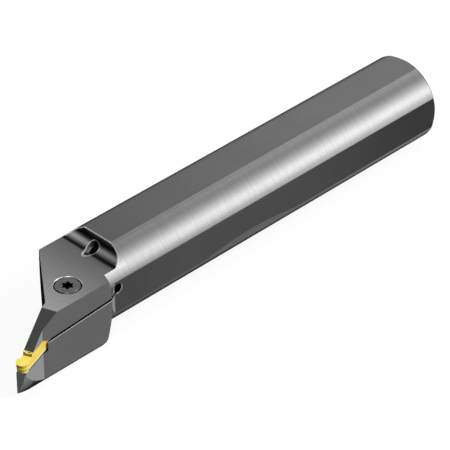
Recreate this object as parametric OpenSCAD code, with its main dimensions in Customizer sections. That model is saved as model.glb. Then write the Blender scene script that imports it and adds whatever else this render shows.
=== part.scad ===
// Boring bar with a flexing-jaw head for a double-ended round-nose insert.
// The bar lies along X. The origin is the centre of the rear face, on the
// shank axis, and the cutting end points towards -X. The insert's cutting
// face lies at centre height, Z = 0, and cuts towards -Y. +Z is up.

/* [Shank] */
// Diameter of the round shank
shank_d = 40; // [38:0.5:42]
// Distance from the shank axis to each milled flat
flat_dist = 18.5; // [18:0.1:18.8]
// Length from the rear face to the start of the run-out groove
shank_len = 194.6; // [180:0.1:240]
// Chamfer round the rear edge
rear_chamfer = 1.5; // [0.5:0.1:3]
// Radius of the groove where the head's top face runs out
groove_r = 6.2; // [5.8:0.1:6.4]
// Length of the slope at the end of the front and bottom flats
flat_runout = 2.95; // [2:0.05:3]

/* [Coolant] */
// Bore of the rear coolant connection, tapped for a 1/4 inch pipe thread
inlet_d = 11.8; // [8:0.1:14]
// Depth of the tapped length
inlet_depth = 14; // [8:1:25]
// Diameter of the long coolant bore
coolant_d = 8; // [5:0.5:8]
// Diameter of the outlet drilled through the groove
outlet_d = 5.5; // [4:0.1:6.2]
// Angle of the outlet to the shank axis
outlet_angle = 19; // [18:0.5:24]

/* [Head] */
// Height of the head's flat top face above the axis
head_top = 12.1; // [11.5:0.1:13]
// Distance from the axis to the head's flat front face
front_face = 20.6; // [20.3:0.1:21.5]
// Diameter of the turned collar at the root of the head
collar_d = 55; // [54:0.5:58]
// Radius of the clearance turned under the cutting edge
clearance_r = 31; // [30.5:0.1:32]
// Offset of that clearance's centre behind the axis
clearance_off = 5; // [4.5:0.1:5.5]

/* [Jaws] */
// Angle of the insert to the shank axis
insert_angle = 20; // [18:0.5:22]
// Thickness of the blade that carries the insert
blade_t = 4.14; // [4:0.02:4.6]
// Width of the saw cut that lets the upper jaw flex
slot_w = 1.3; // [0.8:0.1:1.6]
// Radius of the relief hole at the end of the saw cut
relief_r = 2.2; // [1.6:0.1:2.6]

/* [Insert] */
// Radius of the round nose
nose_r = 2.75; // [2.4:0.05:3]
// Width of the insert behind the nose
insert_w = 4; // [3.6:0.1:4]
// Height of the insert below its cutting face
insert_below = 4.2; // [3.8:0.1:4.4]
// Height of the clamped land above the cutting face
insert_above = 1.6; // [1.4:0.1:1.8]
// Overall length over both noses
insert_len = 24.9; // [24:0.1:25]

/* [Clamp screw] */
// Diameter of the screw head
screw_head_d = 10.7; // [9.5:0.1:11.3]
// Height of the screw head
screw_head_h = 5.4; // [4:0.1:5.4]
// Outside diameter of the screw thread
screw_d = 6; // [5:0.1:7]
// Length of the screw under its head
screw_len = 18; // [12:0.5:20]

/* [Hidden] */
eps = 0.01;
shank_r = shank_d/2;
collar_r = collar_d/2;
// centre of the insert's nose, seen from above
nose_x = -(shank_len + 56.5);
nose_y = -23.2;
// start of the collar's cone
collar_x = -(shank_len + 4.95);
// end of the front flat
front_flat_x = -(shank_len + 1.85);
// clamp screw axis
screw_x = -(shank_len + 20.2);
screw_y = -10.45;
cbore_d = 11.7;
cbore_z = head_top - 5.5;
// jaw positions along the insert, measured from the nose centre
jaw_top_u = -20.95;
jaw_end_u = -5.15;
jaw_end_z = 1.91;
lower_end_u = 1.85;
pocket_u = nose_r - insert_len - 0.1;
pocket_w = 6;
// shallow V ridges that locate the insert in the jaws
ridge_h = 0.57;
ridge_slope = ridge_h/(blade_t/2);
seat_w = 3;
seat_drop = 0.4;
// saw cut on the front face: one point and its slope
slot_x = -(shank_len + 30.5);
slot_z = 0.7;
slot_tilt = 3.8;
relief_x = -(shank_len + 0.05);
relief_z = 4;

// Places its children in the insert's frame: X out along the insert,
// Y across it towards the front, Z up, origin under the nose centre.
module insert_frame() {
    translate([nose_x, nose_y, 0]) rotate([0, 0, 180 + insert_angle]) children();
}

// Extrudes a (Y, Z) outline along X from x0 to x1.
module along_x(x0, x1) {
    translate([x0, 0, 0]) rotate([90, 0, 90]) linear_extrude(x1 - x0) children();
}

// Extrudes an (X, Z) outline along Y from y0 to y1.
module along_y(y0, y1) {
    translate([0, y1, 0]) rotate([90, 0, 0]) linear_extrude(y1 - y0) children();
}

// Round shank with its rear chamfer, on towards the head.
module shank_blank() {
    rotate([0, -90, 0]) {
        cylinder(h = rear_chamfer, r1 = shank_r - rear_chamfer, r2 = shank_r, $fn = 96);
        translate([0, 0, rear_chamfer])
            cylinder(h = shank_len + 25 - rear_chamfer, r = shank_r, $fn = 96);
    }
}

// Turned collar: a steep cone that rounds over into the head's diameter.
module collar_blank() {
    cone = 0.48;
    rr = 3.5;
    h0 = -collar_x;
    hc = h0 + cone*(collar_r - shank_r);
    ang = atan2(1, cone);
    t = rr*tan(ang/2);
    rotate([0, -90, 0]) rotate_extrude($fn = 96) difference() {
        polygon([[0, h0 - 2], [shank_r - 1, h0 - 2], [shank_r - 1, h0 - cone],
                 [collar_r, hc], [collar_r, h0 + 60], [0, h0 + 60]]);
        difference() {
            polygon([[collar_r + 1, hc - 2], [collar_r + 1, hc + t],
                     [collar_r - rr, hc + t],
                     [collar_r - t*sin(ang), hc - t*cos(ang)],
                     [collar_r - t*sin(ang) + 1, hc - t*cos(ang) - 2]]);
            translate([collar_r - rr, hc + t]) circle(r = rr, $fn = 64);
        }
    }
}

// Cross-section of the head: the shank's own circle at the back and a
// larger eccentric clearance circle at the front, cut level top and bottom.
module head_section() {
    intersection() {
        union() {
            circle(r = shank_r, $fn = 96);
            intersection() {
                translate([-40, -40]) square([40, 80]);
                translate([clearance_off, 0]) circle(r = clearance_r, $fn = 128);
            }
        }
        translate([-40, -shank_r]) square([80, shank_r + head_top]);
    }
}

// Outline of the head seen from above: the block round the screw, and the
// blade that carries the insert out past it.
module head_plan() {
    ca = cos(insert_angle);
    sa = sin(insert_angle);
    bw = blade_t/2;
    // where the blade's front side leaves the head's front face
    ft = (-front_face - nose_y + bw*ca)/sa;
    fx = nose_x + ft*ca + bw*sa;
    // corner between the slanted end face and the blade's back side
    kt = 24.1;
    ka = 52;
    kr = 3.5;
    kx = nose_x + kt*ca - bw*sa;
    ky = nose_y + kt*sa + bw*ca;
    half = (180 - ka + insert_angle)/2;
    tl = kr/tan(half);
    mid = insert_angle + 180 - half;
    polygon([[collar_x + 8, -front_face], [collar_x + 8, 30],
             [kx + 43/tan(ka), ky + 43], [kx, ky],
             [kx + 6*ca, ky + 6*sa - 3], [fx, -front_face]]);
    translate([nose_x, nose_y]) rotate(180 + insert_angle)
        translate([-33, -bw]) square([33 + lower_end_u, blade_t]);
    difference() {
        polygon([[kx, ky], [kx + tl*cos(ka), ky + tl*sin(ka)],
                 [kx - tl*ca, ky - tl*sa]]);
        translate([kx + kr/sin(half)*cos(mid), ky + kr/sin(half)*sin(mid)])
            circle(r = kr, $fn = 64);
    }
}

// Solid head before the pocket, the saw cut and the screw hole are made.
module head_blank() {
    intersection() {
        collar_blank();
        along_x(-(shank_len + 62), collar_x + 1) head_section();
        translate([0, 0, -30]) linear_extrude(60) head_plan();
    }
}

// Space over the upper jaw: the steep bevel down to the insert.
module jaw_bevel() {
    s = (head_top - jaw_end_z)/(jaw_end_u - jaw_top_u);
    insert_frame() along_y(-12, 14)
        polygon([[jaw_top_u - 10, head_top + 10*s], [jaw_end_u, jaw_end_z],
                 [jaw_end_u, 0], [14, 0], [14, 30], [jaw_top_u - 10, 30]]);
}

// Outline of the V ridge under the insert, and of the one above it.
module lower_ridge(gap = 0) {
    polygon([[-seat_w/2, -insert_below - 2],
             [-seat_w/2, -insert_below + ridge_h - ridge_slope*seat_w/2 - gap],
             [0, -insert_below + ridge_h - gap],
             [seat_w/2, -insert_below + ridge_h - ridge_slope*seat_w/2 - gap],
             [seat_w/2, -insert_below - 2]]);
}
module upper_ridge(gap = 0) {
    polygon([[-blade_t/2, insert_above + 2], [-blade_t/2, insert_above + gap],
             [0, insert_above - ridge_h + gap],
             [blade_t/2, insert_above + gap], [blade_t/2, insert_above + 2]]);
}

// Pocket for the insert, with a V ridge left standing on each jaw and
// lower shoulders beside the seat.
module pocket() {
    insert_frame() difference() {
        translate([pocket_u, -pocket_w/2, -insert_below - seat_drop])
            cube([12 - pocket_u, pocket_w, insert_below + seat_drop + insert_above]);
        along_x(pocket_u - 1, lower_end_u + 2) lower_ridge();
        along_x(pocket_u - 1, jaw_end_u) upper_ridge();
    }
}

// Saw cut from the pocket to the relief hole, so the upper jaw can flex.
module saw_cut() {
    len = relief_x - slot_x;
    translate([slot_x, 0, slot_z]) rotate([0, -slot_tilt, 0])
        translate([-17, -40, -slot_w/2]) cube([len + 17, 80, slot_w]);
    // bevel along the lower lip of the cut, on the front face
    translate([slot_x, -front_face, slot_z - slot_w/2]) rotate([0, -slot_tilt, 0])
        translate([-17, 0, 0]) rotate([45, 0, 0])
            translate([0, -0.15, -0.15]) cube([len + 14, 0.3, 0.3]);
    translate([relief_x, 40, relief_z]) rotate([90, 0, 0])
        cylinder(h = 80, r = relief_r, $fn = 48);
    translate([relief_x, -flat_dist - 0.05, relief_z]) rotate([-90, 0, 0])
        cylinder(h = 0.35, r1 = relief_r + 0.35, r2 = relief_r, $fn = 48);
}

// Stepped hole for the clamp screw.
module screw_hole() {
    translate([screw_x, screw_y, 0]) {
        translate([0, 0, cbore_z]) cylinder(h = 20, d = cbore_d, $fn = 64);
        translate([0, 0, head_top - 0.3])
            cylinder(h = 0.3 + eps, d1 = cbore_d, d2 = cbore_d + 0.6, $fn = 64);
        translate([0, 0, 0]) cylinder(h = cbore_z + eps, d = screw_d + 0.6, $fn = 48);
        translate([0, 0, cbore_z - screw_len - 1.5])
            cylinder(h = screw_len - cbore_z + 2, d = screw_d + 0.2, $fn = 48);
    }
}

// Coolant passages: tapped inlet, long bore and angled outlet.
module coolant() {
    rotate([0, -90, 0]) {
        translate([0, 0, -1]) cylinder(h = inlet_depth + 1, d = inlet_d, $fn = 64);
        translate([0, 0, inlet_depth - eps])
            cylinder(h = shank_len - 36.5 - inlet_depth, d = coolant_d, $fn = 48);
    }
    translate([-(shank_len - 7.1), 0, head_top]) rotate([0, -90 + outlet_angle, 0])
        translate([0, 0, -38]) cylinder(h = 70, d = outlet_d, $fn = 48);
}

// Cutter for a flat on the -Y side, which slopes out to the shank's surface.
module flat_cutter() {
    out = shank_r - flat_dist;
    translate([0, 0, -30]) linear_extrude(60)
        polygon([[20, -flat_dist], [front_flat_x, -flat_dist],
                 [front_flat_x - flat_runout, -flat_dist - out],
                 [front_flat_x - flat_runout, -40], [20, -40]]);
}

module bar_body() {
    color([0.62, 0.63, 0.64]) difference() {
        union() {
            shank_blank();
            head_blank();
        }
        // top flat of the shank and level face of the head, joined by the groove
        translate([-(shank_len + 30), -40, flat_dist]) cube([shank_len + 31, 80, 10]);
        translate([-(shank_len + 80), -40, head_top]) cube([80, 80, 20]);
        difference() {
            translate([-shank_len - eps, -40, head_top]) cube([groove_r + eps, 80, 20]);
            difference() {
                translate([-shank_len - 1, -41, head_top - 1]) cube([groove_r + 2, 82, groove_r + 1]);
                translate([-shank_len, 41, head_top + groove_r]) rotate([90, 0, 0])
                    cylinder(h = 82, r = groove_r, $fn = 96);
            }
        }
        // small bevel along the groove's upper edge
        translate([-(shank_len - groove_r), -30, flat_dist]) rotate([0, 45, 0])
            translate([-0.25, 0, -0.25]) cube([0.5, 60, 0.5]);
        // front and bottom flats of the shank
        flat_cutter();
        rotate([90, 0, 0]) flat_cutter();
        // end of the round shank inside the head
        difference() {
            translate([-(shank_len + 26), -30, -30]) cube([26 - 4.95, 60, 60]);
            translate([0, 0, -30]) linear_extrude(60) head_plan();
        }
        jaw_bevel();
        pocket();
        saw_cut();
        screw_hole();
        coolant();
    }
}

// Double-ended insert: round noses with relief, a raised clamping land
// between them and V grooves above and below.
module cutting_insert() {
    hw = insert_w/2;
    far = 2*nose_r - insert_len;
    color([0.93, 0.9, 0.36]) insert_frame() difference() {
        union() {
            // round noses: sharp relief, a small ledge, and the thicker foot
            for (u = [0, far]) translate([u, 0, 0]) {
                translate([0, 0, -1.6]) cylinder(h = 1.6, r1 = nose_r - 0.42, r2 = nose_r, $fn = 64);
                translate([0, 0, -1.85])
                    cylinder(h = 0.25, r1 = nose_r - 0.15, r2 = nose_r - 0.42, $fn = 64);
                translate([0, 0, -insert_below])
                    cylinder(h = insert_below - 1.85, r1 = nose_r - 0.4, r2 = nose_r - 0.15, $fn = 64);
            }
            translate([far, -hw, -insert_below]) cube([-far, insert_w, insert_below]);
            along_y(-hw, hw)
                polygon([[-4.05, -1], [-4.05, 0], [-4.45, insert_above],
                         [far + 4.45, insert_above], [far + 4.05, 0], [far + 4.05, -1]]);
        }
        along_x(far - 10, 10) polygon([[-4, -insert_below - ridge_slope*4 + ridge_h + 0.01],
            [0, -insert_below + ridge_h + 0.01],
            [4, -insert_below - ridge_slope*4 + ridge_h + 0.01], [4, -8], [-4, -8]]);
        along_x(far - 10, 10) polygon([[-blade_t/2, insert_above - 0.02],
            [0, insert_above - ridge_h - 0.02], [blade_t/2, insert_above - 0.02],
            [blade_t/2, 6], [-blade_t/2, 6]]);
    }
}

// Clamp screw with a six-lobed socket.
module clamp_screw() {
    color([0.34, 0.35, 0.36]) translate([screw_x, screw_y, cbore_z + 0.03]) difference() {
        union() {
            translate([0, 0, 0.4]) cylinder(h = screw_head_h - 0.6, d = screw_head_d, $fn = 64);
            cylinder(h = 0.4, d1 = screw_head_d - 0.8, d2 = screw_head_d, $fn = 64);
            translate([0, 0, screw_head_h - 0.2])
                cylinder(h = 0.2, d1 = screw_head_d, d2 = screw_head_d - 0.4, $fn = 64);
            translate([0, 0, 0.8 - screw_len]) cylinder(h = screw_len - 0.8 + eps, d = screw_d, $fn = 48);
            translate([0, 0, -screw_len])
                cylinder(h = 0.8, d1 = screw_d - 1.6, d2 = screw_d, $fn = 48);
        }
        translate([0, 0, screw_head_h - 2.8]) {
            cylinder(h = 3, r = 1.95, $fn = 48);
            for (i = [0:5]) rotate([0, 0, 60*i + 45])
                translate([2.05, 0, 0]) cylinder(h = 3, r = 0.62, $fn = 32);
        }
        translate([0, 0, screw_head_h - 3.4])
            cylinder(h = 0.6 + eps, r1 = 0.2, r2 = 1.95, $fn = 48);
    }
}

bar_body();
cutting_insert();
clamp_screw();
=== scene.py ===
import math

import bpy
from mathutils import Matrix, Vector


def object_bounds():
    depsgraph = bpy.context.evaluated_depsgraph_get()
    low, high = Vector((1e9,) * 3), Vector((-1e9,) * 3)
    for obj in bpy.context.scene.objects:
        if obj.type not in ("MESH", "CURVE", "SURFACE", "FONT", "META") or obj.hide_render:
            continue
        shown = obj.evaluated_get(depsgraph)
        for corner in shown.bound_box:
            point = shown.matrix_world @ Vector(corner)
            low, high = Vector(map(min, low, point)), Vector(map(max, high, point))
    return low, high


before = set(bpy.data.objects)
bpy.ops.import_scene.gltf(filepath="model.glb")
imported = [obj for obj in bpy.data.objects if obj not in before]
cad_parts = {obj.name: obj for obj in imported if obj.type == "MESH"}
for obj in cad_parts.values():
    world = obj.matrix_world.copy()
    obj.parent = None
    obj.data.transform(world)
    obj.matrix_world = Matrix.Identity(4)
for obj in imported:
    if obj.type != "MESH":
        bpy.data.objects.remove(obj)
CAD_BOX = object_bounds()

SHANK_R = 0.020
SHANK_END = -0.1946
HEAD_TOP = 0.0121
SCREW = (-0.2148, -0.01045)
NOSE = (-0.2511, -0.0232)
HOLE = (-0.19465, 0.004)
OUTLET_POINT = (-0.1875, 0.0, 0.0121)
OUTLET_AXIS = (-math.cos(math.radians(19.0)), 0.0, math.sin(math.radians(19.0)))


# ---------------------------------------------------------------- node helpers
class Nodes:
    """A small builder for node trees: every method adds a node and returns its output."""

    def __init__(self, tree):
        self.tree = tree

    def add(self, kind, **values):
        n = self.tree.nodes.new(kind)
        for k, v in values.items():
            setattr(n, k, v)
        return n

    def put(self, socket, value):
        if isinstance(value, bpy.types.NodeSocket):
            self.tree.links.new(value, socket)
        elif isinstance(value, (tuple, list)) and len(value) == 3 and socket.type == "RGBA":
            socket.default_value = (*value, 1.0)
        else:
            socket.default_value = value

    def math(self, op, a, b=0.0, c=0.0, clamp=False):
        n = self.add("ShaderNodeMath", operation=op, use_clamp=clamp)
        for i, v in enumerate((a, b, c)):
            if i < len(n.inputs):
                self.put(n.inputs[i], v)
        return n.outputs[0]

    def vmath(self, op, a, b=(0.0, 0.0, 0.0), out=0, scale=None):
        n = self.add("ShaderNodeVectorMath", operation=op)
        self.put(n.inputs[0], a)
        if op not in ("NORMALIZE", "LENGTH", "ABSOLUTE", "SCALE"):
            self.put(n.inputs[1], b)
        if scale is not None:
            self.put(n.inputs["Scale"], scale)
        return n.outputs[out]

    def span(self, value, a, b, lo=0.0, hi=1.0, kind="SMOOTHSTEP"):
        n = self.add("ShaderNodeMapRange", interpolation_type=kind, clamp=True)
        self.put(n.inputs["Value"], value)
        self.put(n.inputs["From Min"], a)
        self.put(n.inputs["From Max"], b)
        self.put(n.inputs["To Min"], lo)
        self.put(n.inputs["To Max"], hi)
        return n.outputs["Result"]

    def mix(self, factor, a, b, blend="MIX"):
        n = self.add("ShaderNodeMix", data_type="RGBA", blend_type=blend)
        self.put(n.inputs["Factor"], factor)
        self.put([s for s in n.inputs if s.name == "A" and s.type == "RGBA"][0], a)
        self.put([s for s in n.inputs if s.name == "B" and s.type == "RGBA"][0], b)
        return [s for s in n.outputs if s.type == "RGBA"][0]

    def xyz(self, vector):
        n = self.add("ShaderNodeSeparateXYZ")
        self.put(n.inputs[0], vector)
        return n.outputs

    def vec(self, x, y, z):
        n = self.add("ShaderNodeCombineXYZ")
        for s, v in zip(n.inputs, (x, y, z)):
            self.put(s, v)
        return n.outputs[0]

    def noise(self, vector, scale, detail=2.0, rough=0.5, kind="3D"):
        n = self.add("ShaderNodeTexNoise", noise_dimensions=kind)
        if kind != "1D":
            self.put(n.inputs["Vector"], vector)
        else:
            self.put(n.inputs["W"], vector)
        self.put(n.inputs["Scale"], scale)
        self.put(n.inputs["Detail"], detail)
        self.put(n.inputs["Roughness"], rough)
        return n.outputs[0]

    def bump(self, height, distance, strength=1.0, normal=None):
        n = self.add("ShaderNodeBump")
        self.put(n.inputs["Height"], height)
        self.put(n.inputs["Distance"], distance)
        self.put(n.inputs["Strength"], strength)
        if normal is not None:
            self.put(n.inputs["Normal"], normal)
        return n.outputs[0]


def new_material(name):
    m = bpy.data.materials.new(name)
    m.use_nodes = True
    nt = m.node_tree
    nt.nodes.clear()
    g = Nodes(nt)
    out = g.add("ShaderNodeOutputMaterial")
    bsdf = g.add("ShaderNodeBsdfPrincipled")
    nt.links.new(bsdf.outputs[0], out.inputs[0])
    return m, g, bsdf


# ---------------------------------------------------------------- materials
def bar_steel():
    m, g, bsdf = new_material("bar_steel")
    p = g.add("ShaderNodeTexCoord").outputs["Object"]
    x, y, z = g.xyz(p)
    normal = g.add("ShaderNodeNewGeometry").outputs["Normal"]
    nx, ny, nz = g.xyz(normal)

    def both(*masks):
        out = masks[0]
        for k in masks[1:]:
            out = g.math("MULTIPLY", out, k)
        return out

    def less(mask, other):
        return g.math("MULTIPLY", mask, g.math("SUBTRACT", 1.0, other))

    # where on the bar the point lies
    level = both(g.span(nz, 0.9, 0.97), g.span(z, HEAD_TOP - 0.0004, HEAD_TOP - 0.0002), g.span(x, SHANK_END, SHANK_END - 0.0002))
    level = less(level, g.span(z, HEAD_TOP + 0.0003, HEAD_TOP + 0.0006))
    head = g.math("MAXIMUM", level, g.span(x, SHANK_END - 0.0046, SHANK_END - 0.0050))
    groove = both(g.span(x, SHANK_END + 0.0068, SHANK_END + 0.0064), g.span(z, HEAD_TOP - 0.0012, HEAD_TOP - 0.0004))
    groove = less(groove, head)
    flat = g.span(g.math("MAXIMUM", g.math("ABSOLUTE", ny), g.math("ABSOLUTE", nz)), 0.93, 0.97)
    # the coolant outlet: its bore, and the groove's surface right round its mouth
    from_outlet = g.vmath("SUBTRACT", p, OUTLET_POINT)
    along = g.vmath("DOT_PRODUCT", from_outlet, OUTLET_AXIS, out=1)
    away = g.vmath("LENGTH", g.vmath("SUBTRACT", from_outlet, g.vmath("SCALE", OUTLET_AXIS, scale=along)), out=1)
    near_mouth = both(g.span(away, 0.0036, 0.0034), g.span(x, SHANK_END + 0.0068, SHANK_END + 0.0064), g.span(z, HEAD_TOP - 0.0012, HEAD_TOP - 0.0006))
    bore = both(g.span(away, 0.002775, 0.00276), near_mouth)
    mouth = both(less(near_mouth, bore), g.span(along, 0.0006, 0.0020))
    mouth_rim = less(both(g.span(away, 0.00330, 0.00305), near_mouth, g.span(along, 0.0012, 0.0028)), bore)
    wall = less(both(groove, g.span(nx, -0.80, -0.88)), near_mouth)
    # the groove's edge on the round of the shank: rounded in the shading normal, with a painted highlight line below
    round_r = g.math("SQRT", g.math("ADD", g.math("MULTIPLY", y, y), g.math("MULTIPLY", z, z)))
    lip = both(groove, g.span(round_r, 0.01945, 0.01960), g.span(nx, -0.25, -0.40))
    # the slope at the end of the front flat
    slope = both(g.span(nx, 0.25, 0.35), g.span(ny, -0.75, -0.85), g.span(y, -0.0183, -0.0185))
    chamfer = both(g.span(nx, -0.6, -0.68), g.span(nz, 0.6, 0.68), g.span(z, 0.0178, 0.0181))
    # the relief hole's bevel on the front flat
    from_hole = g.vec(g.math("SUBTRACT", x, HOLE[0]), 0.0, g.math("SUBTRACT", z, HOLE[1]))
    hole_rim = both(g.span(g.vmath("LENGTH", from_hole, out=1), 0.0029, 0.0027), g.span(y, -0.0178, -0.0181),
                    g.span(y, -0.0190, -0.0187), g.span(ny, -0.4, -0.5), g.span(ny, -0.9, -0.85))
    # the counterbore of the clamp screw
    from_screw = g.vec(g.math("SUBTRACT", x, SCREW[0]), g.math("SUBTRACT", y, SCREW[1]), 0.0)
    r_screw = g.vmath("LENGTH", from_screw, out=1)
    at_screw = both(g.span(r_screw, 0.0064, 0.0062), g.span(z, 0.0050, 0.0055))
    sunk = both(at_screw, g.span(g.math("ABSOLUTE", nz), 0.4, 0.3))
    screw_rim = both(at_screw, g.span(nz, 0.5, 0.6), g.span(nz, 0.9, 0.8), g.span(z, 0.0115, 0.0117))

    # edges are broken round the groove and the coolant mouth, and left crisp on the milled head
    turn = g.math("MAXIMUM", g.math("MAXIMUM", less(less(groove, wall), near_mouth), mouth), lip)
    radius = g.math("ADD", 0.00005, g.math("MULTIPLY", turn, 0.0004))
    soft = g.add("ShaderNodeBevel", samples=8)
    g.put(soft.inputs["Radius"], radius)
    edge = g.math("SUBTRACT", 1.0, g.vmath("DOT_PRODUCT", soft.outputs[0], normal, out=1), clamp=True)
    edge_wear_and_sheen = g.span(edge, 0.01, 0.2)

    # ground shank: fine rings round the axis
    rings = g.noise(g.vec(x, g.math("MULTIPLY", y, 0.03), g.math("MULTIPLY", z, 0.03)), 3800.0, 3.0, 0.65)
    bands = g.noise(g.vec(x, g.math("MULTIPLY", y, 0.1), g.math("MULTIPLY", z, 0.1)), 700.0, 2.0, 0.5)
    # milled faces: streaks that follow the cutter
    streaks = g.noise(g.vec(g.math("MULTIPLY", x, 0.15), y, z), 2600.0, 2.0, 0.6)
    lines = g.noise(g.vec(g.math("MULTIPLY", x, 0.02), y, z), 3000.0, 2.0, 0.6)
    cloud = g.noise(p, 45.0, 2.0, 0.5)

    shank = g.mix(less(g.span(bands, 0.3, 0.7), flat), (0.368, 0.368, 0.373), (0.392, 0.392, 0.397))
    shank = g.mix(both(flat, g.span(cloud, 0.3, 0.7)), shank, (0.388, 0.388, 0.393))
    # painted shade on the front flat: darker towards the rear end and next to the head
    front = g.math("MULTIPLY", g.span(x, -0.088, -0.010, 1.0, 0.62, "LINEAR"), g.span(x, -0.188, -0.168, 0.84, 1.0))
    shank = g.mix(g.span(ny, -0.93, -0.97), shank, g.vec(front, front, front), "MULTIPLY")
    # painted highlight: a long, thin, lighter patch along the lower edge of the front flat
    across = g.math("MULTIPLY", g.math("ADD", x, 0.117), 1.0 / 0.0262)
    top_edge = g.math("SUBTRACT", -0.00520, g.math("MULTIPLY", g.math("MULTIPLY", across, across), 0.00240))
    painted_highlight_patch = both(g.span(ny, -0.93, -0.97), g.span(g.math("SUBTRACT", z, top_edge), 0.00012, -0.00012))
    shank = g.mix(painted_highlight_patch, shank, (0.64, 0.64, 0.645))
    # painted shade: a darker line on the round along the front flat's upper edge
    brink = both(g.span(y, -0.01836, -0.01844), g.span(ny, -0.93, -0.90), g.span(z, 0.0065, 0.0070), g.span(z, 0.0085, 0.0080))
    shank = g.mix(g.math("MULTIPLY", brink, 0.75), shank, (0.20, 0.20, 0.205))
    # painted highlight on the slope at the end of the front flat
    shank = g.mix(slope, shank, (0.60, 0.60, 0.605))
    # painted highlight on the faces turned down, lighter towards the rear end
    low = g.span(x, -0.090, -0.010, 0.46, 0.62, "LINEAR")
    shank = g.mix(g.span(nz, -0.28, -0.36), shank, g.vec(low, low, low))
    # painted shade on the rear end's chamfer
    shank = g.mix(both(g.span(nx, 0.4, 0.6), g.span(nx, 0.95, 0.85)), shank, (0.14, 0.14, 0.143))
    # painted highlight on the groove's floor, lighter towards +y
    run_out = g.mix(g.span(y, -0.012, 0.011, kind="LINEAR"), (0.38, 0.38, 0.385), (0.64, 0.64, 0.645))
    shank = g.mix(g.math("MULTIPLY", groove, g.span(g.math("ABSOLUTE", ny), 0.2, 0.1)), shank, run_out)
    # painted shade on the groove's steep wall
    shank = g.mix(wall, shank, (0.22, 0.22, 0.225))
    # painted highlight on the level face of the head, lighter towards the nose
    lift = g.span(x, -0.196, -0.232, 0.0, 1.0, "LINEAR")
    plane = g.mix(lift, (0.47, 0.47, 0.475), (0.88, 0.88, 0.885))
    side = g.mix(g.span(cloud, 0.3, 0.7), (0.61, 0.61, 0.615), (0.65, 0.65, 0.655))
    # the head's other faces are lit and shaded copies of one finish: painted shade on faces turned down, to +y and up
    # below the level face, painted highlight on the facet under the nose, middle tones on the faces sloping up
    from_nose = g.vec(g.math("SUBTRACT", x, NOSE[0]), g.math("SUBTRACT", y, NOSE[1]), 0.0)
    tip = both(g.span(g.vmath("LENGTH", from_nose, out=1), 0.0050, 0.0040), g.span(ny, -0.30, -0.55), g.span(nz, -0.55, -0.45), g.span(nz, -0.16, -0.22))
    other = g.mix(g.span(nz, -0.22, -0.5), (0.56, 0.56, 0.565), (0.2, 0.2, 0.205))
    other = g.mix(tip, other, (0.80, 0.80, 0.805))
    other = g.mix(g.span(ny, 0.2, 0.5), other, (0.3, 0.3, 0.305))
    other = g.mix(g.span(nz, 0.6, 0.7), other, (0.44, 0.44, 0.445))
    other = g.mix(both(g.span(nx, -0.4, -0.48), g.span(nz, 0.7, 0.8)), other, (0.56, 0.56, 0.565))
    other = g.mix(g.span(nz, 0.9, 0.97), other, (0.09, 0.09, 0.092))
    milled = g.mix(g.span(ny, -0.96, -0.99), other, side)
    milled = g.mix(level, milled, plane)
    base = g.mix(head, shank, milled)
    # painted light in the coolant bore: a lighter band on the walls that slope up, brighter deeper in; the rest
    # darker, darkest on the floor
    strip = both(g.span(nz, 0.36, 0.56), g.span(nz, 0.90, 0.74))
    lit = g.span(along, 0.0034, 0.0014, 0.13, 0.95, "LINEAR")
    floor = g.span(nz, 0.80, 0.90)
    inside = g.mix(strip, g.mix(floor, (0.28, 0.28, 0.28), (0.09, 0.09, 0.09)), g.vec(lit, lit, lit))
    base = g.mix(bore, base, inside)
    # painted highlight round the edge of the coolant mouth
    base = g.mix(g.math("MULTIPLY", mouth_rim, 0.75), base, (0.95, 0.95, 0.955))
    # painted highlight on the relief hole's bevel, toned down where the bevel faces up
    base = g.mix(hole_rim, base, g.mix(g.span(nz, 0.3, 0.55), (0.74, 0.74, 0.745), (0.34, 0.34, 0.343)))
    # painted shade on the counterbore's walls
    base = g.mix(sunk, base, (0.06, 0.06, 0.062))
    # painted highlight on the counterbore's chamfer
    base = g.mix(screw_rim, base, (0.92, 0.92, 0.925))
    # painted highlight on the groove's chamfer along the top flat
    base = g.mix(chamfer, base, (0.95, 0.95, 0.955))
    # painted highlight line along the groove's edge on the round
    base = g.mix(lip, base, (0.95, 0.95, 0.955))
    # painted highlight and wear: the edges are lightened, most round the groove and the coolant mouth
    strong = g.math("ADD", g.math("SUBTRACT", 0.35, g.math("MULTIPLY", head, 0.25)), g.math("MULTIPLY", turn, 0.6))
    plain = g.math("MAXIMUM", g.math("MAXIMUM", wall, bore), less(near_mouth, g.math("MAXIMUM", mouth, mouth_rim)))
    base = g.mix(g.math("MULTIPLY", less(edge_wear_and_sheen, plain), g.math("MINIMUM", strong, 1.0)), base, (0.95, 0.95, 0.955))
    g.put(bsdf.inputs["Base Color"], base)
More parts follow.
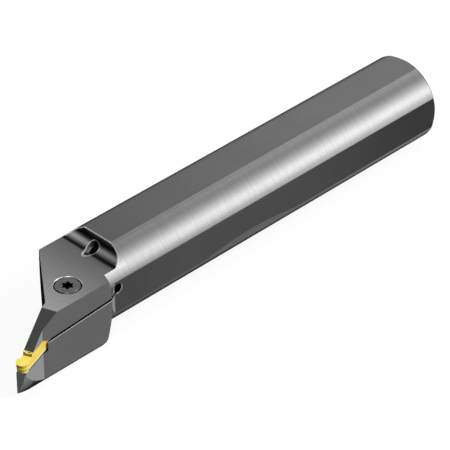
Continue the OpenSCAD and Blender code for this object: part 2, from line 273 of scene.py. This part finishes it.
    # the level face, the bore and the broken edges scatter more than the ground shank
    dull = g.math("MULTIPLY", both(level, lift), 0.13)
    dull = g.math("ADD", dull, g.math("MULTIPLY", bore, g.math("ADD", g.math("SUBTRACT", 0.35, g.math("MULTIPLY", floor, 0.25)), g.math("MULTIPLY", strip, 0.5))))
    dull = g.math("ADD", dull, g.math("ADD", g.math("MULTIPLY", screw_rim, 0.2), g.math("MULTIPLY", hole_rim, 0.2)))
    dull = g.math("ADD", dull, g.math("MULTIPLY", mouth_rim, g.span(y, 0.0003, 0.0018, 0.10, 0.45)))
    dull = g.math("ADD", dull, g.math("MULTIPLY", lip, 0.4))
    dull = g.math("ADD", dull, g.math("MULTIPLY", both(edge_wear_and_sheen, less(turn, g.math("MAXIMUM", mouth, lip))), 0.3))
    dull = g.math("ADD", dull, g.math("MULTIPLY", both(edge_wear_and_sheen, less(mouth, mouth_rim)), 0.2), clamp=True)
    g.put(bsdf.inputs["Metallic"], g.math("SUBTRACT", 1.0, dull))
    rough_shank = g.mix(flat, g.span(rings, 0.3, 0.7, 0.2, 0.26, "LINEAR"), g.span(lines, 0.3, 0.7, 0.215, 0.25, "LINEAR"))
    ground = g.math("MAXIMUM", g.span(nz, -0.48, -0.55), g.span(ny, 0.4, 0.5))
    rough_head = g.math("SUBTRACT", g.span(streaks, 0.3, 0.7, 0.22, 0.28, "LINEAR"), g.math("MULTIPLY", ground, 0.13))
    rough = g.mix(head, rough_shank, rough_head)
    rough = g.math("SUBTRACT", rough, g.math("MULTIPLY", groove, 0.09))
    g.put(bsdf.inputs["Roughness"], g.math("ADD", rough, g.math("MULTIPLY", bore, 0.40)))
    height = g.mix(head, g.mix(flat, rings, lines), streaks)
    crisp = g.math("MAXIMUM", g.math("MAXIMUM", groove, near_mouth), g.math("MULTIPLY", head, 0.85))
    shaded = g.mix(less(crisp, lip), soft.outputs[0], normal)
    g.put(bsdf.inputs["Normal"], g.bump(height, 0.0000006, 1.0, shaded))
    return m


def insert_coating():
    m, g, bsdf = new_material("insert_coating")
    p = g.add("ShaderNodeTexCoord").outputs["Object"]
    z = g.xyz(p)[2]
    normal = g.add("ShaderNodeNewGeometry").outputs["Normal"]
    nx, ny, nz = g.xyz(normal)
    soft = g.add("ShaderNodeBevel", samples=8)
    g.put(soft.inputs["Radius"], 0.00020)
    edge = g.math("SUBTRACT", 1.0, g.vmath("DOT_PRODUCT", soft.outputs[0], normal, out=1), clamp=True)
    edge = g.span(edge, 0.01, 0.2)
    grain = g.noise(p, 9000.0, 2.0, 0.6)
    cloud = g.noise(p, 420.0, 2.0, 0.5)
    # painted light: the top and the sides are lit and shaded copies of one coating, each tone set by the way the face
    # turns
    top = g.mix(g.span(cloud, 0.3, 0.7), (0.65, 0.54, 0.088), (0.70, 0.60, 0.112))
    ground = g.mix(g.span(cloud, 0.3, 0.7), (0.84, 0.60, 0.090), (0.90, 0.67, 0.108))
    # painted shade on the faces turned to -x, under the nose
    end = g.math("MULTIPLY", g.span(nx, -0.45, -0.75), g.span(nz, 0.7, 0.4))
    ground = g.mix(end, ground, (0.62, 0.70, 0.46), "MULTIPLY")
    base = g.mix(g.span(nz, 0.4, 0.7), ground, top)
    # painted shade on the slanted wall between the land and the cutting face
    former = g.math("MULTIPLY", g.math("MULTIPLY", g.span(nz, 0.1, 0.2), g.span(nz, 0.9, 0.8)), g.span(z, 0.0, 0.0002))
    base = g.mix(former, base, (0.50, 0.45, 0.62), "MULTIPLY")
    # painted highlight: a cream line along the sides' lower edge
    foot = g.math("MULTIPLY", g.span(z, -0.0033, -0.0037), g.span(ny, -0.7, -0.8))
    base = g.mix(g.math("MULTIPLY", foot, 0.8), base, (0.97, 0.88, 0.40))
    # painted highlight along the edges
    base = g.mix(g.math("MULTIPLY", edge, 0.5), base, (0.97, 0.87, 0.40))
    g.put(bsdf.inputs["Base Color"], base)
    bsdf.inputs["Metallic"].default_value = 0.0
    g.put(bsdf.inputs["Roughness"], g.span(grain, 0.3, 0.7, 0.36, 0.46, "LINEAR"))
    bsdf.inputs["Specular IOR Level"].default_value = 0.5
    g.put(bsdf.inputs["Normal"], g.bump(grain, 0.000002, 1.0, soft.outputs[0]))
    return m


def screw_steel():
    m, g, bsdf = new_material("screw_steel")
    p = g.add("ShaderNodeTexCoord").outputs["Object"]
    x, y, z = g.xyz(p)
    normal = g.add("ShaderNodeNewGeometry").outputs["Normal"]
    soft = g.add("ShaderNodeBevel", samples=6)
    g.put(soft.inputs["Radius"], 0.00012)
    edge = g.math("SUBTRACT", 1.0, g.vmath("DOT_PRODUCT", soft.outputs[0], normal, out=1), clamp=True)
    edge = g.span(edge, 0.01, 0.2)
    dx = g.math("SUBTRACT", x, SCREW[0])
    dy = g.math("SUBTRACT", y, SCREW[1])
    r = g.math("SQRT", g.math("ADD", g.math("MULTIPLY", dx, dx), g.math("MULTIPLY", dy, dy)))
    turning = g.noise(g.math("ADD", r, g.math("MULTIPLY", z, 0.3)), 9000.0, 2.0, 0.6, "1D")
    cloud = g.noise(p, 1900.0, 2.0, 0.5)
    base = g.mix(g.span(cloud, 0.35, 0.65), (0.42, 0.42, 0.425), (0.70, 0.70, 0.705))
    # painted highlight along the edges
    base = g.mix(g.math("MULTIPLY", edge, 0.25), base, (0.70, 0.70, 0.71))
    # painted shade on the head's side below its top face
    base = g.mix(g.span(z, 0.01198, 0.0118), base, (0.06, 0.06, 0.062))
    g.put(bsdf.inputs["Base Color"], base)
    bsdf.inputs["Metallic"].default_value = 1.0
    g.put(bsdf.inputs["Roughness"], g.span(turning, 0.3, 0.7, 0.26, 0.36, "LINEAR"))
    g.put(bsdf.inputs["Normal"], g.bump(turning, 0.0000015, 1.0, soft.outputs[0]))
    return m


MATERIALS = {"bar_body": bar_steel(), "cutting_insert": insert_coating(), "clamp_screw": screw_steel()}
for name, material in MATERIALS.items():
    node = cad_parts[name]
    if not node.material_slots:
        node.data.materials.append(material)
    for s in node.material_slots:
        s.material = material


# ---------------------------------------------------------------- floor and light
def floor():
    mesh = bpy.data.meshes.new("floor")
    h = 6.0
    zf = CAD_BOX[0][2] - 0.00002
    mesh.from_pydata([(-h, -h, zf), (h, -h, zf), (h, h, zf), (-h, h, zf)], [], [(0, 1, 2, 3)])
    o = bpy.data.objects.new("floor", mesh)
    bpy.context.scene.collection.objects.link(o)
    m = bpy.data.materials.new("floor_paper")
    m.use_nodes = True
    nt = m.node_tree
    nt.nodes.clear()
    g = Nodes(nt)
    out = g.add("ShaderNodeOutputMaterial")
    diffuse = g.add("ShaderNodeBsdfDiffuse")
    g.put(diffuse.inputs["Color"], (0.12, 0.12, 0.12))
    glow = g.add("ShaderNodeEmission")
    g.put(glow.inputs["Color"], (1.0, 1.0, 1.0))
    g.put(glow.inputs["Strength"], 0.87)
    add = g.add("ShaderNodeAddShader")
    nt.links.new(diffuse.outputs[0], add.inputs[0])
    nt.links.new(glow.outputs[0], add.inputs[1])
    nt.links.new(add.outputs[0], out.inputs[0])
    mesh.materials.append(m)
    o.visible_glossy = False
    o.visible_diffuse = False
    return o


# broad soft lights of the dome: direction, tightness, strength
LOBES = [
    ((0.53, -0.39, 0.75), 14, 0.339),
    ((0.51, -0.77, 0.39), 14, 0.936),
    ((0.36, -0.74, -0.57), 14, 0.143),
    ((0.64, 0.56, 0.54), 70, 0.567),
    ((0.64, -0.06, 0.77), 70, 0.786),
    ((0.64, -0.44, 0.63), 70, 0.173),
    ((0.64, -0.59, 0.50), 70, 0.695),
    ((0.64, -0.70, 0.33), 70, 1.823),
    ((0.64, -0.76, 0.13), 70, 0.644),
    ((0.63, 0.05, -0.77), 70, 0.230),
    ((0.60, 0.80, -0.06), 70, 0.290),
    ((0.79, -0.09, -0.60), 70, 0.526),
    ((0.80, 0.13, -0.58), 110, 0.350),
    ((-0.10, 0.61, 0.79), 70, 0.061),
    ((-0.34, 0.61, 0.71), 70, 0.295),
    ((-0.54, 0.61, 0.58), 70, 0.309),
    ((-0.46, -0.38, 0.80), 40, 1.500),
    ((-0.84, -0.38, 0.39), 40, 1.400),
    ((-0.69, -0.55, 0.48), 14, 0.250),
    ((-0.31, -0.92, 0.25), 20, 0.450),
    ((-0.20, 0.95, 0.20), 20, 0.450),
    ((-0.20, 0.75, -0.65), 20, 0.300),
    ((0.05, -0.93, -0.37), 30, 0.350),
    ((0.94, 0.00, -0.34), 40, 0.300),
    ((0.94, 0.00, 0.34), 30, 0.300),
    ((-0.94, 0.05, -0.34), 30, 0.250),
    ((0.58, -0.30, -0.76), 70, 0.300),
    ((-0.57, -0.58, -0.58), 40, 0.800),
]
# dark cloths that keep light off the dim base: direction, inner and outer half angle, share left
FLAGS = [
    ((0.35, 0.57, 0.74), 8.0, 24.0, 0.10),
    ((0.41, 0.70, -0.58), 10.0, 30.0, 0.03),
    ((0.62, 0.50, -0.60), 16.0, 32.0, 0.02),
    ((-0.81, 0.57, -0.14), 14.0, 32.0, 0.12),
]
DIM = 0.07


def studio():
    """A soft, graded studio dome: dim all round, with a few broad soft lights."""
    w = bpy.data.worlds.new("studio")
    bpy.context.scene.world = w
    w.use_nodes = True
    nt = w.node_tree
    nt.nodes.clear()
    g = Nodes(nt)
    d = g.vmath("NORMALIZE", g.add("ShaderNodeTexCoord").outputs["Generated"])
    total = DIM
    for direction, inner, outer, keep in FLAGS:
        c = g.vmath("DOT_PRODUCT", d, tuple(Vector(direction).normalized()), out=1)
        total = g.math("MULTIPLY", total, g.span(c, math.cos(math.radians(outer)), math.cos(math.radians(inner)), 1.0, keep))
    for direction, tight, strength in LOBES:
        c = g.vmath("DOT_PRODUCT", d, tuple(Vector(direction).normalized()), out=1)
        fall = g.math("EXPONENT", g.math("MULTIPLY", g.math("SUBTRACT", c, 1.0), float(tight)))
        total = g.math("ADD", total, g.math("MULTIPLY", fall, strength))
    back = g.add("ShaderNodeBackground")
    g.put(back.inputs["Color"], (1.0, 1.0, 1.0))
    g.put(back.inputs["Strength"], total)
    seen = g.add("ShaderNodeBackground")
    g.put(seen.inputs["Color"], (0.97, 0.97, 0.97))
    path = g.add("ShaderNodeLightPath").outputs["Is Camera Ray"]
    mix = g.add("ShaderNodeMixShader")
    nt.links.new(path, mix.inputs[0])
    nt.links.new(back.outputs[0], mix.inputs[1])
    nt.links.new(seen.outputs[0], mix.inputs[2])
    out = g.add("ShaderNodeOutputWorld")
    nt.links.new(mix.outputs[0], out.inputs[0])


def area(name, location, target, size, power):
    """A soft light that only matt surfaces answer to, so that it leaves no glare on the steel."""
    light = bpy.data.lights.new(name, "AREA")
    light.shape = "DISK"
    light.size = size
    light.energy = power
    o = bpy.data.objects.new(name, light)
    bpy.context.scene.collection.objects.link(o)
    o.location = location
    o.rotation_mode = "QUATERNION"
    o.rotation_quaternion = (Vector(target) - Vector(location)).to_track_quat("-Z", "Y")
    o.visible_glossy = False
    o.visible_camera = False
    return o


floor()
studio()
area("soft_key", (0.35, -1.0, 1.0), (-0.12, 0.0, 0.0), 0.9, 22.0)
area("soft_top", (-0.2, 0.2, 1.5), (-0.12, 0.0, 0.0), 1.2, 14.0)


# ---------------------------------------------------------------- camera
def camera():
    data = bpy.data.cameras.new("camera")
    o = bpy.data.objects.new("camera", data)
    bpy.context.scene.collection.objects.link(o)
    az, el = math.radians(-45.0), math.radians(35.56)
    back = Vector((math.sin(az) * math.cos(el), -math.cos(az) * math.cos(el), math.sin(el)))
    right = Vector((math.cos(az), math.sin(az), 0.0))
    up = back.cross(right)
    turn = Matrix((right, up, back)).transposed()
    o.matrix_world = Matrix.Translation((-0.81996, -0.70550, 0.69920)) @ turn.to_4x4()
    data.sensor_width = 36.0
    data.sensor_fit = "HORIZONTAL"
    data.lens = 2842.7 / 450.0 * 36.0
    data.clip_start = 0.01
    data.clip_end = 50.0
    bpy.context.scene.camera = o


camera()
bpy.context.scene.view_settings.view_transform = "Standard"
bpy.context.scene.view_settings.look = "None"
